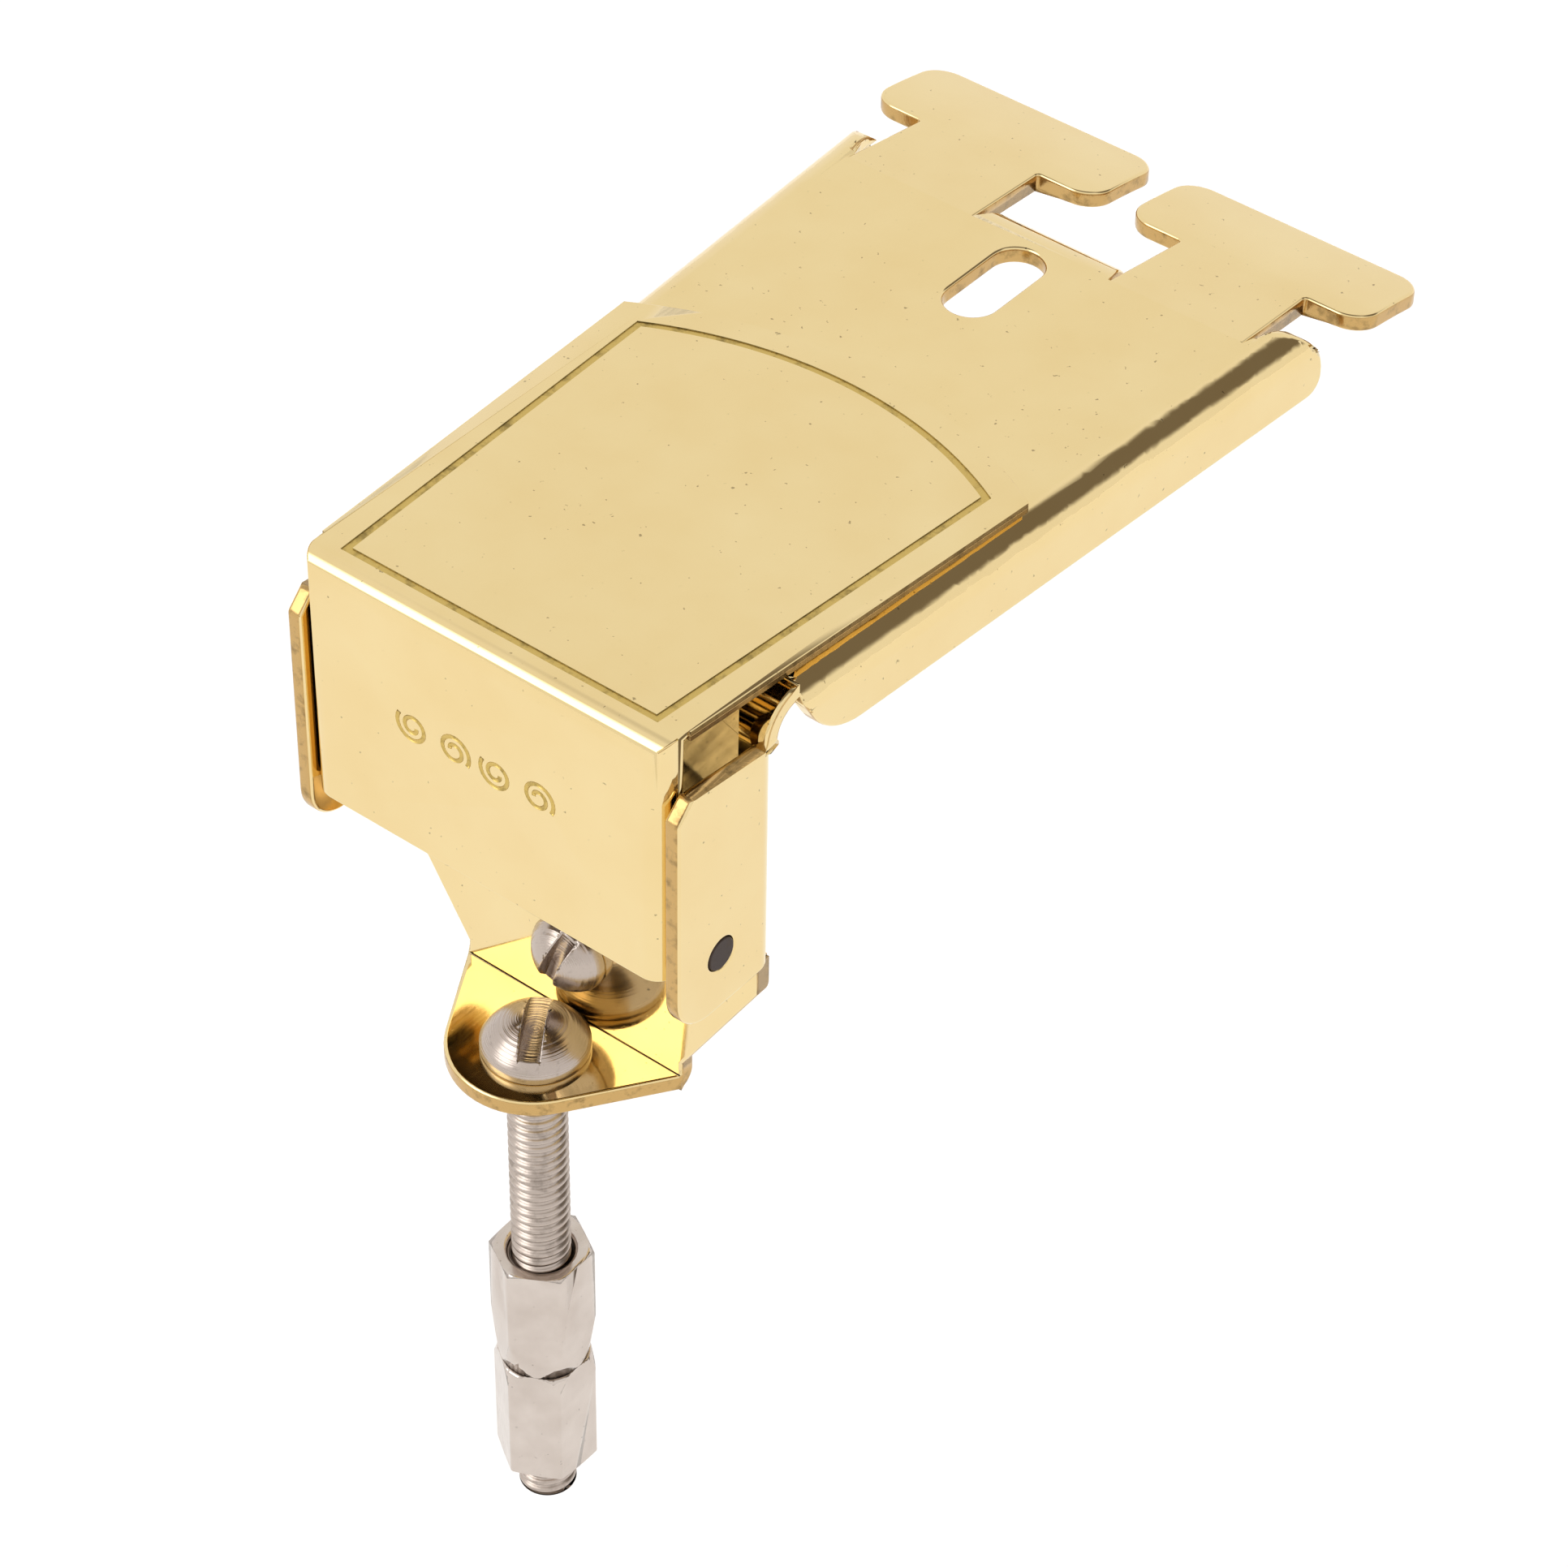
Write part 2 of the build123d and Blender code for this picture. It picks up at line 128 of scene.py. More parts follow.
def cad_copy(node, name):
    """A welded copy of a CAD node, with its flat faces made whole."""
    bm = bmesh.new()
    bm.from_mesh(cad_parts[node].data)
    bmesh.ops.remove_doubles(bm, verts=bm.verts, dist=MERGE)
    bmesh.ops.dissolve_degenerate(bm, edges=bm.edges, dist=MERGE)
    bmesh.ops.dissolve_limit(bm, angle_limit=math.radians(FLAT_DEG), use_dissolve_boundaries=False,
                             verts=bm.verts, edges=bm.edges)
    mesh = bpy.data.meshes.new(name)
    bm.to_mesh(mesh)
    bm.free()
    return new_object(name, mesh)


def applied(obj):
    """Makes an object's live modifiers part of its mesh."""
    graph = bpy.context.evaluated_depsgraph_get()
    mesh = bpy.data.meshes.new_from_object(obj.evaluated_get(graph))
    obj.modifiers.clear()
    old = obj.data
    obj.data = mesh
    mesh.name = obj.name
    bpy.data.meshes.remove(old)
    return obj


SHARP_DEG = 34.0          # edges that turn more than this are rounded
NARROW_COS = 0.6          # two sharp edges closer together than this make an awkward corner
LEAST_TURN = 0.08         # radians; a sharp edge that turns less at a corner counts as straight
TIGHT = 1.6               # least radius of a turning edge, in widths of its round
SHORT = 2.0               # least length of an edge at a three-way corner, in the same widths
ROUND_SEGMENTS = 3
FLAT_WEIGHT = 90          # how far large faces rule the shading over small ones


def awkward(vert, sharp, width):
    """True at a corner that a round cannot turn: a sharp edge ends there, too many meet there, two of
    them meet at a narrow angle or turn more tightly than the round, or three meet and one is too short."""
    edges = [e for e in vert.link_edges if e in sharp]
    if len(edges) == 1 or len(edges) > 3:
        return True
    ways = [(e.other_vert(vert).co - vert.co).normalized() for e in edges]
    if any(a.dot(b) > NARROW_COS for i, a in enumerate(ways) for b in ways[:i]):
        return True
    shortest = min((e.calc_length() for e in edges), default=1.0)
    if len(edges) == 2:
        turn = math.pi - ways[0].angle(ways[1])
        return LEAST_TURN < turn and shortest / turn < TIGHT * width
    return len(edges) == 3 and shortest < SHORT * width


def rounded(obj, width, chosen=lambda edge: True):
    """Rounds an object's sharp edges, apart from those that chosen(edge) leaves out or that end in an
    awkward corner, then lets its large faces set the shading, so that flat faces stay flat."""
    limit = math.radians(SHARP_DEG)
    bm = bmesh.new()
    bm.from_mesh(obj.data)
    layer = bm.edges.layers.float.new("bevel_weight_edge")
    sharp = {e for e in bm.edges if len(e.link_faces) == 2 and e.calc_face_angle(0.0) > limit}
    bad = {v for v in bm.verts if awkward(v, sharp, width)}
    for edge in sharp:
        edge[layer] = float(chosen(edge) and not bad.intersection(edge.verts))
    for face in bm.faces:
        face.smooth = True
    bm.to_mesh(obj.data)
    bm.free()
    bevel = obj.modifiers.new("edge round", "BEVEL")
    bevel.limit_method = "WEIGHT"
    bevel.width = width
    bevel.segments = ROUND_SEGMENTS
    bevel.use_clamp_overlap = False
    bevel.loop_slide = False
    bevel.miter_outer = "MITER_ARC"
    shading = obj.modifiers.new("face shading", "WEIGHTED_NORMAL")
    shading.mode = "FACE_AREA"
    shading.weight = FLAT_WEIGHT
    shading.thresh = 0.01
    return applied(obj)


def dress(obj, *finish_list):
    obj.data.materials.clear()
    for finish in finish_list:
        obj.data.materials.append(finish)


PROBE_DEPTH = 0.02 * MM   # a look through the sheet starts this far inside it
THROUGH = 1.6             # in sheet thicknesses: metal deeper than this lies behind a cut edge
SHEARED_SLOT = 1


def widest_spots(mesh):
    """For each face, the middle of its largest triangle, which always lies on the face itself."""
    mesh.calc_loop_triangles()
    best = {}
    for triangle in mesh.loop_triangles:
        if triangle.area > best.get(triangle.polygon_index, (0.0, None))[0]:
            middle = sum((mesh.vertices[i].co for i in triangle.vertices), Vector()) / 3
            best[triangle.polygon_index] = (triangle.area, middle)
    return {index: middle for index, (area, middle) in best.items()}


def mark_sheared(obj, thickness):
    """Gives a sheet's cut edges their own material: looking inwards from them, the far side is further
    off than the sheet is thick."""
    mesh = obj.data
    spots = widest_spots(mesh)
    bm = bmesh.new()
    bm.from_mesh(mesh)
    tree = BVHTree.FromBMesh(bm)
    bm.free()
    for face in mesh.polygons:
        if face.material_index == 0 and face.index in spots:
            distance = tree.ray_cast(spots[face.index] - face.normal * PROBE_DEPTH, -face.normal)[3]
            if distance is None or distance > THROUGH * thickness:
                face.material_index = SHEARED_SLOT


def finished(obj, body, node):
    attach(obj, body)
    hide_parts(node)


# ---- Geometry Nodes: a cut thread and a row of scrolls -----------------------------------


def add_node(tree, kind, links=None, **settings):
    """Adds a node, sets its properties and links or fills its inputs by name or index."""
    node = tree.nodes.new(kind)
    for key, value in settings.items():
        setattr(node, key, value)
    for key, value in (links or {}).items():
        target = node.inputs[key]
        if isinstance(value, bpy.types.NodeSocket):
            tree.links.new(value, target)
        else:
            target.default_value = value
    return node


def maths(tree, operation, a, b=None):
    links = {i: v for i, v in enumerate((a, b)) if v is not None}
    return add_node(tree, "ShaderNodeMath", links, operation=operation).outputs[0]


def new_tree(name, inputs):
    """A Geometry Nodes tree with these (name, socket kind, default) inputs, and its input sockets."""
    tree = bpy.data.node_groups.new(name, "GeometryNodeTree")
    for title, kind, default in inputs:
        item = tree.interface.new_socket(name=title, in_out="INPUT", socket_type=kind)
        if default is not None:
            item.default_value = default
    tree.interface.new_socket(name="Geometry", in_out="OUTPUT", socket_type="NodeSocketGeometry")
    return tree, add_node(tree, "NodeGroupInput").outputs


def end_tree(tree, geometry, finish):
    real = add_node(tree, "GeometryNodeRealizeInstances", {0: geometry})
    painted = add_node(tree, "GeometryNodeSetMaterial", {0: real.outputs[0], "Material": finish})
    add_node(tree, "NodeGroupOutput", {0: painted.outputs[0]})
    return tree


def generated(name, tree, inputs):
    """A mesh object made by a Geometry Nodes tree, with its inputs set by name."""
    obj = new_object(name, bpy.data.meshes.new(name))
    modifier = obj.modifiers.new(tree.name, "NODES")
    modifier.node_group = tree
    for item in tree.interface.items_tree:
        if item.item_type == "SOCKET" and item.in_out == "INPUT":
            modifier[item.identifier] = inputs[item.name]
    return applied(obj)


ROWS_PER_TURN = 8
CREST_END = 0.09          # share of a pitch: the thread's flat crest ends and its flank begins
ROOT_START = 0.40         # and here the flank meets the root


def thread_tree():
    """A closed threaded rod along +Z. Its rows climb one pitch in each turn, so every row follows the
    helix exactly; the ends are flat, with a chamfer at the far end."""
    tree, given = new_tree("cut thread", (
        ("Crest radius", "NodeSocketFloat", 2.0 * MM), ("Depth", "NodeSocketFloat", 0.3 * MM),
        ("Pitch", "NodeSocketFloat", 0.8 * MM), ("Length", "NodeSocketFloat", 40 * MM),
        ("Tip chamfer", "NodeSocketFloat", 0.3 * MM), ("Sides", "NodeSocketInt", 48),
        ("Rows per turn", "NodeSocketInt", ROWS_PER_TURN), ("Finish", "NodeSocketMaterial", None)))
    per_turn = given["Rows per turn"]
    turns = maths(tree, "CEIL", maths(tree, "DIVIDE", given["Length"], given["Pitch"]))
    rows = maths(tree, "MULTIPLY", maths(tree, "ADD", turns, 2.0), per_turn)
    grid = add_node(tree, "GeometryNodeMeshGrid", {
        "Size X": 1.0, "Size Y": 1.0, "Vertices X": maths(tree, "ADD", given["Sides"], 1.0),
        "Vertices Y": maths(tree, "ADD", rows, 1.0)})
    position = add_node(tree, "GeometryNodeInputPosition").outputs[0]
    place = add_node(tree, "ShaderNodeSeparateXYZ", {0: position})
    around = maths(tree, "ADD", place.outputs[0], 0.5)
    row = maths(tree, "ROUND", maths(tree, "MULTIPLY", maths(tree, "ADD", place.outputs[1], 0.5), rows))
    # height of this row here, from one pitch below the far end
    climb = maths(tree, "DIVIDE", row, per_turn)
    climb = maths(tree, "ADD", maths(tree, "SUBTRACT", climb, 1.0), around)
    height = maths(tree, "MULTIPLY", climb, given["Pitch"])
    held = maths(tree, "MAXIMUM", maths(tree, "MINIMUM", height, given["Length"]), 0.0)
    # thread form: flat crest, eased flank, flat root
    wave = maths(tree, "PINGPONG", maths(tree, "DIVIDE", row, per_turn), 0.5)
    form = add_node(tree, "ShaderNodeMapRange", {0: wave, 1: CREST_END, 2: ROOT_START, 3: 0.0, 4: 1.0},
                    interpolation_type="SMOOTHSTEP")
    sunk = maths(tree, "MULTIPLY", form.outputs[0], given["Depth"])
    radius = maths(tree, "SUBTRACT", given["Crest radius"], sunk)
    tip = maths(tree, "SUBTRACT", given["Crest radius"], given["Tip chamfer"])
    radius = maths(tree, "MINIMUM", radius, maths(tree, "ADD", tip, held))
    # the first and last rows close the ends on the axis
    inner = maths(tree, "MULTIPLY", maths(tree, "GREATER_THAN", row, 0.5),
                  maths(tree, "LESS_THAN", row, maths(tree, "SUBTRACT", rows, 0.5)))
    radius = maths(tree, "MULTIPLY", radius, inner)
    angle = maths(tree, "MULTIPLY", around, TAU)
    spot = add_node(tree, "ShaderNodeCombineXYZ", {
        0: maths(tree, "MULTIPLY", radius, maths(tree, "COSINE", angle)),
        1: maths(tree, "MULTIPLY", radius, maths(tree, "SINE", angle)), 2: held})
    wrapped = add_node(tree, "GeometryNodeSetPosition", {
        "Geometry": grid.outputs["Mesh"], "Position": spot.outputs[0]})
    welded = add_node(tree, "GeometryNodeMergeByDistance", {
        "Geometry": wrapped.outputs[0], "Distance": WELD})
    smooth = add_node(tree, "GeometryNodeSetShadeSmooth", {0: welded.outputs[0]})
    return end_tree(tree, smooth.outputs[0], given["Finish"])


def thread(name, inputs):
    """A mesh object made by the thread tree, along +Z from the origin."""
    obj = generated(name, bpy.data.node_groups.get("cut thread") or thread_tree(), inputs)
    bm = bmesh.new()
    bm.from_mesh(obj.data)
    bmesh.ops.dissolve_degenerate(bm, edges=bm.edges, dist=WELD)
    bmesh.ops.recalc_face_normals(bm, faces=bm.faces)
    bm.to_mesh(obj.data)
    bm.free()
    return obj


SCROLL_COUNT = 4
SCROLL_SPACING = 3.4 * MM
SCROLL_RADIUS = 1.3 * MM
SCROLL_EYE = 0.25         # inner radius of a scroll, as a share of its outer one
SCROLL_TURNS = 1.6


def scroll_tree():
    """A row of spiral scrolls as round-nosed cutters, lying in the XY plane; every other one is turned
    round."""
    tree, given = new_tree("scroll ornament", (
        ("Scrolls", "NodeSocketInt", SCROLL_COUNT), ("Spacing", "NodeSocketFloat", SCROLL_SPACING),
        ("Scroll radius", "NodeSocketFloat", SCROLL_RADIUS), ("Cutter radius", "NodeSocketFloat", 0.2 * MM),
        ("Finish", "NodeSocketMaterial", None)))
    spiral = add_node(tree, "GeometryNodeCurveSpiral", {
        "Resolution": 24, "Rotations": SCROLL_TURNS, "Height": 0.0, "End Radius": given["Scroll radius"],
        "Start Radius": maths(tree, "MULTIPLY", given["Scroll radius"], SCROLL_EYE)})
    step = add_node(tree, "ShaderNodeCombineXYZ", {0: given["Spacing"]})
    row = add_node(tree, "GeometryNodeMeshLine", {"Count": given["Scrolls"], "Offset": step.outputs[0]},
                   mode="OFFSET")
    points = add_node(tree, "GeometryNodeMeshToPoints", {"Mesh": row.outputs[0]})
    index = add_node(tree, "GeometryNodeInputIndex").outputs[0]
    turn = add_node(tree, "ShaderNodeCombineXYZ", {2: maths(tree, "MULTIPLY", index, math.pi)})
    rotation = add_node(tree, "FunctionNodeEulerToRotation", {0: turn.outputs[0]})
    scrolls = add_node(tree, "GeometryNodeInstanceOnPoints", {
        "Points": points.outputs[0], "Instance": spiral.outputs[0], "Rotation": rotation.outputs[0]})
    real = add_node(tree, "GeometryNodeRealizeInstances", {0: scrolls.outputs[0]})
    nose = add_node(tree, "GeometryNodeCurvePrimitiveCircle", {
        "Resolution": 10, "Radius": given["Cutter radius"]})
    cutter = add_node(tree, "GeometryNodeCurveToMesh", {
        "Curve": real.outputs[0], "Profile Curve": nose.outputs[0], "Fill Caps": True})
    return end_tree(tree, cutter.outputs[0], given["Finish"])


def engrave(obj, placed, inputs):
    """Cuts the scroll ornament into an object where a matrix places it."""
    cutter = generated("scroll cutter", scroll_tree(), inputs)
    cutter.data.transform(placed)
    cut = obj.modifiers.new("engraving", "BOOLEAN")
    cut.operation = "DIFFERENCE"
    cut.solver = "EXACT"
    cut.material_mode = "TRANSFER"
    cut.object = cutter
    applied(obj)
    bpy.data.objects.remove(cutter)


# ---- materials --------------------------------------------------------------------------


def new_material(name):
    material = bpy.data.materials.new(name)
    material.use_nodes = True
    material.node_tree.nodes.clear()
    return material, material.node_tree


def object_spot(tree):
    return add_node(tree, "ShaderNodeTexCoord").outputs["Object"]


def noise(tree, where, size_mm, detail, **inputs):
    """Noise whose grains are about size_mm across."""
    links = {"Vector": where, "Scale": 1 / (size_mm * MM), "Detail": detail, **inputs}
    return add_node(tree, "ShaderNodeTexNoise", links).outputs["Fac"]


def ranged(tree, value, low, high, least, most):
    return add_node(tree, "ShaderNodeMapRange", {
        "Value": value, "From Min": low, "From Max": high, "To Min": least, "To Max": most}).outputs[0]


def mixed(tree, share, first, second):
    links = {"Factor": share, "A": first, "B": second}
    return add_node(tree, "ShaderNodeMix", links, data_type="RGBA").outputs["Result"]


def bumped(tree, height, strength, distance_mm, below=None, invert=False):
    """A bump normal, laid over another when there is one below it."""
    links = {"Strength": strength, "Distance": distance_mm * MM, "Height": height}
    if below is not None:
        links["Normal"] = below
    return add_node(tree, "ShaderNodeBump", links, invert=invert).outputs[0]


def end_metal(tree, tint, roughness, normal):
    shader = add_node(tree, "ShaderNodeBsdfPrincipled", {
        "Base Color": tint, "Metallic": 1.0, "Roughness": roughness, "Normal": normal})
    add_node(tree, "ShaderNodeOutputMaterial", {0: shader.outputs[0]})


PIT_START = 0.72          # noise above this is a pit
PIT_FULL = 0.765
PIT_DARKNESS = 0.55
BRUSH_TURN = (0.1, 0.2, 0.7)
BRUSH_STRETCH = (1.0, 0.06, 0.2)
WAVE_MM = 5.5


def polished_metal(name, main, drift, dirt, rough, drift_mm=7.0, pit_mm=0.45, swirl_mm=0.22, wave=0.22):
    """Mirror-polished metal: a slow colour drift, sparse dark pits, fine buffing swirls and a gentle
    waviness left by hand polishing."""
    material, tree = new_material(name)
    spot = object_spot(tree)
    tint = mixed(tree, noise(tree, spot, drift_mm, 3.0), main, drift)
    pit = ranged(tree, noise(tree, spot, pit_mm, 2.0), PIT_START, PIT_FULL, 0.0, PIT_DARKNESS)
    # buffing: long thin scratches, drawn coarser than real grit so that they show
    stretched = add_node(tree, "ShaderNodeMapping", {
        "Vector": spot, "Rotation": BRUSH_TURN, "Scale": BRUSH_STRETCH})
    swirl = noise(tree, stretched.outputs[0], swirl_mm, 2.0)
    roughness = ranged(tree, swirl, 0.35, 0.75, rough, rough * 1.9)
    wave_bump = bumped(tree, noise(tree, spot, WAVE_MM, 1.0), wave, 0.05)
    fine_bump = bumped(tree, swirl, 0.05, 0.004, wave_bump)
    pit_bump = bumped(tree, pit, 0.5, 0.01, fine_bump, invert=True)
    end_metal(tree, mixed(tree, pit, tint, dirt), roughness, pit_bump)
    return material


def sheared_metal(name, main, dirt, rough):
    """Sheared sheet edge, tumbled and wiped: short grain across the sheet and dark residue."""
    material, tree = new_material(name)
    spot = object_spot(tree)
    share = ranged(tree, noise(tree, spot, 1.1, 4.0, Roughness=0.65), 0.50, 0.72, 0.0, 0.6)
    bump = bumped(tree, noise(tree, spot, 0.16, 3.0), 0.35, 0.02)
    end_metal(tree, mixed(tree, share, main, dirt), rough, bump)
    return material


RING_WIDTH = 0.16 * MM    # of the lathe's marks


def turned_metal(name, main, dirt, axis, centre, rough):
    """Plated screw head with the lathe's fine rings round its axis."""
    material, tree = new_material(name)
    spot = object_spot(tree)
    local = add_node(tree, "ShaderNodeMapping", {"Vector": spot, "Location": tuple(-c for c in centre)})
    flat = add_node(tree, "ShaderNodeVectorMath", {0: local.outputs[0], 1: tuple(1.0 - a for a in axis)},
                    operation="MULTIPLY")
    away = add_node(tree, "ShaderNodeVectorMath", {0: flat.outputs[0]}, operation="LENGTH").outputs["Value"]
    ring = add_node(tree, "ShaderNodeTexNoise", {
        "W": maths(tree, "DIVIDE", away, RING_WIDTH), "Scale": 1.0, "Detail": 2.0}, noise_dimensions="1D")
    bump = bumped(tree, ring.outputs["Fac"], 0.9, 0.03)
    share = ranged(tree, noise(tree, spot, 0.5, 3.0), 0.6, 0.8, 0.0, 0.35)
    end_metal(tree, mixed(tree, share, main, dirt), rough, bump)
    return material


def finishes():
    return bpy.context.scene.tailpiece_finishes


def sizes():
    return bpy.context.scene.tailpiece_sizes


def shared(name, make):
    """The material of that name, made the first time it is asked for."""
    return bpy.data.materials.get(name) or make(name)


def polished_brass():
    """The mirror-bright faces of both brass stampings."""
    f = finishes()
    return shared("mirror polished brass",
                  lambda n: polished_metal(n, f.brass, f.brass_deep, f.stain, 0.055))


def sheared_brass():
    """The cut edges of both stampings, browner and duller than their faces."""
    f = finishes()
    return shared("sheared brass edge", lambda n: sheared_metal(n, f.brass_edge, f.stain, 0.22))


def engraved_brass():
    """The scrolls and the border line, rough and a little greener than the face round them."""
    f = finishes()
    return shared("engraved brass", lambda n: sheared_metal(n, f.brass_engraved, f.stain, 0.35))


def dark_steel():
    """The dull pin."""
    f = finishes()
    return shared("dull dark steel", lambda n: sheared_metal(n, f.pin, f.stain, 0.5))


def nickel_plate():
    """The nuts' flats."""
    f = finishes()
    return shared("bright nickel plate", lambda n: polished_metal(
        n, f.nickel, f.nickel_shade, f.grime, 0.13, drift_mm=2.5, pit_mm=0.3, wave=0.2))


def thread_plate():
    """Both threads, with random patches of dirt."""
    f = finishes()
    return shared("nickel plated thread", lambda n: sheared_metal(n, f.nickel_shade, f.grime, 0.28))


def turned_plate(name, outwards, seat):
    """A screw's head, turned round its own axis and plated."""
    f = finishes()
    axis = tuple(abs(value) for value in outwards)
    return shared(name, lambda n: turned_metal(n, f.nickel_shade, f.grime, axis, seat, 0.24))


# ---- pieces -----------------------------------------------------------------------------

SHEET = 1.3 * MM                                   # thickness of the base stamping
COVER_SHEET = 0.75 * MM
COVER_DROOP = math.radians(2.28)                   # slope of the cover's top
ORNAMENT_START = Vector((-5.4, -4.5, 29.3)) * MM   # middle of the first scroll, on the rear wall
SCREW_SEAT = Vector((0.0, 3.85, 7.2)) * MM         # under the adjusting screw's head
SCREW_OUT = Vector((0.0, -1.0, 0.0))
SCREW_RADIUS = 1.74 * MM
SCREW_LENGTH = 10.3 * MM
SCREW_CHAMFER = 0.35 * MM
BOLT_SEAT = Vector((0.0, 0.0, 1.3)) * MM           # under the hanger bolt's head
BOLT_OUT = Vector((0.0, 0.0, 1.0))
BOLT_RADIUS = 2.05 * MM
BOLT_LENGTH = 43.4 * MM
BOLT_CHAMFER = 0.27 * MM
ENGRAVED_SLOT = 2
THREAD_SLOT = 1


def head_only(obj, outwards, seat):
    """Keeps a screw's head, closed at its seat; the thread is made apart."""
    bm = bmesh.new()
    bm.from_mesh(obj.data)
    everything = bm.verts[:] + bm.edges[:] + bm.faces[:]
    cut = bmesh.ops.bisect_plane(bm, geom=everything, dist=1e-7, plane_co=seat + outwards * WELD,
                                 plane_no=-outwards, clear_outer=True)
    rim = [e for e in cut["geom_cut"] if isinstance(e, bmesh.types.BMEdge)]
    bmesh.ops.contextual_create(bm, geom=rim)
    bm.to_mesh(obj.data)
    bm.free()


def join(obj, other, placed, slot):
    """Moves another object's mesh into this one, under this one's material of that slot."""
    bm = bmesh.new()
    bm.from_mesh(other.data)
    bm.transform(placed)
    for face in bm.faces:
        face.material_index = slot
        face.smooth = True
    bm.from_mesh(obj.data)
    bm.to_mesh(obj.data)
    bm.free()
    bpy.data.objects.remove(other)


def slotted_screw(node, name, finish, outwards, seat, turn_deg, cut_thread):
    """A screw: its CAD head, rounded, and a cut thread turned about X to point the other way."""
    piece = cad_copy(node, name)
    head_only(piece, outwards, seat)
    rounded(piece, sizes().head_round)
    dress(piece, turned_plate(finish, outwards, seat), thread_plate())
    rod = thread(name + " thread", {**cut_thread, "Sides": sizes().thread_sides,
                                    "Rows per turn": ROWS_PER_TURN, "Finish": thread_plate()})
    join(piece, rod, Matrix.Translation(seat) @ Matrix.Rotation(math.radians(turn_deg), 4, "X"), THREAD_SLOT)
    return piece


class TAILPIECE_OT_base_plate(bpy.types.Operator):
    """Base stamping: plate, rolled sides, tongues, web, ears and tab, with tumbled edges"""
    bl_idname = "tailpiece.base_plate"
    bl_label = "Base plate"

    def execute(self, context):
        piece = cad_copy("base_plate", "base_stamping")
        rounded(piece, sizes().sheet_round)
        dress(piece, polished_brass(), sheared_brass())
        mark_sheared(piece, SHEET)
        finished(piece, "base", "base_plate")
        return {"FINISHED"}


BORDER_LOW = 36.9 * MM            # the cover's top lies above this
BORDER_HALF = 14.0 * MM           # and its border line inside this half-width
ORNAMENT_Y = -4.3 * MM            # the rear wall lies behind this
ORNAMENT_HALF = 12.5 * MM
ORNAMENT_Z = (20.0 * MM, 36.0 * MM)
RING_DEPTH = (0.02 * MM, 0.2 * MM)    # faces of the border line lie this far below the top
RING_AREA = 120 * MM * MM             # and are smaller than this
RING_HALF = 14.9 * MM
RING_REAR = -3.0 * MM


def middle(edge):
    return (edge.verts[0].co + edge.verts[1].co) / 2


def in_border(edge):
    """True for the edges of the stamped border line, inside the outline of the cover's top."""
    spot = middle(edge)
    outer = all(abs(f.normal.z) < 0.9 or f.normal.z > 0 for f in edge.link_faces)
    return spot.z > BORDER_LOW and abs(spot.x) < BORDER_HALF and outer


def in_ornament(edge):
    """True for edges inside the rear wall, away from its outline."""
    spot = middle(edge)
    level = ORNAMENT_Z[0] < spot.z < ORNAMENT_Z[1]
    return spot.y < ORNAMENT_Y and abs(spot.x) < ORNAMENT_HALF and level


def mark_border(obj):
    """Gives the floor and walls of the stamped border line the engraved finish."""
    top = max((v.co for v in obj.data.vertices), key=lambda p: p.z)
    for face in obj.data.polygons:
        fall = (face.center.y - top.y) * math.tan(COVER_DROOP)
        below = top.z - fall - face.center.z
        ring = RING_DEPTH[0] < below < RING_DEPTH[1] and face.area < RING_AREA
        if ring and abs(face.center.x) < RING_HALF and face.center.y > RING_REAR:
            face.material_index = ENGRAVED_SLOT


class TAILPIECE_OT_string_cover(bpy.types.Operator):
    """Hinged cover, with its stamped border line and engraved scrolls on its rear wall"""
    bl_idname = "tailpiece.string_cover"
    bl_label = "String cover"

    def execute(self, context):
        size = sizes()
        piece = cad_copy("string_cover", "hinged_cover")
        dress(piece, polished_brass(), sheared_brass(), engraved_brass())
        # a round nose of this radius cuts a line of the given width at the given depth
        nose = (size.engraving_width ** 2 / 4 + size.engraving_depth ** 2) / (2 * size.engraving_depth)
        lift = Vector((0.0, nose - size.engraving_depth, 0.0))
        upright = Matrix.Rotation(math.radians(90), 4, "X")
        engrave(piece, Matrix.Translation(ORNAMENT_START - lift) @ upright, {
            "Scrolls": SCROLL_COUNT, "Spacing": SCROLL_SPACING, "Scroll radius": SCROLL_RADIUS,
            "Cutter radius": nose, "Finish": engraved_brass()})
        rounded(piece, size.cover_round, lambda e: not (in_border(e) or in_ornament(e)))
        mark_sheared(piece, COVER_SHEET)
        mark_border(piece)
        finished(piece, "cover", "string_cover")
        return {"FINISHED"}


class TAILPIECE_OT_hinge_pin(bpy.types.Operator):
    """Dull steel hinge pin with softened ends"""
    bl_idname = "tailpiece.hinge_pin"
    bl_label = "Hinge pin"

    def execute(self, context):
        piece = cad_copy("hinge_pin", "cover_pin")
        rounded(piece, sizes().head_round)
        dress(piece, dark_steel())
        finished(piece, "base", "hinge_pin")
        return {"FINISHED"}


class TAILPIECE_OT_adjusting_screw(bpy.types.Operator):
    """Slotted adjusting screw in the web"""
    bl_idname = "tailpiece.adjusting_screw"
    bl_label = "Adjusting screw"

    def execute(self, context):
        size = sizes()
        piece = slotted_screw("adjusting_screw", "height_screw", "turned nickel screw head", SCREW_OUT,
                              SCREW_SEAT, -90, {
                                  "Crest radius": SCREW_RADIUS, "Depth": size.screw_depth,
                                  "Pitch": size.screw_pitch, "Length": SCREW_LENGTH,
                                  "Tip chamfer": SCREW_CHAMFER})
        finished(piece, "adjusting_screw", "adjusting_screw")
        return {"FINISHED"}


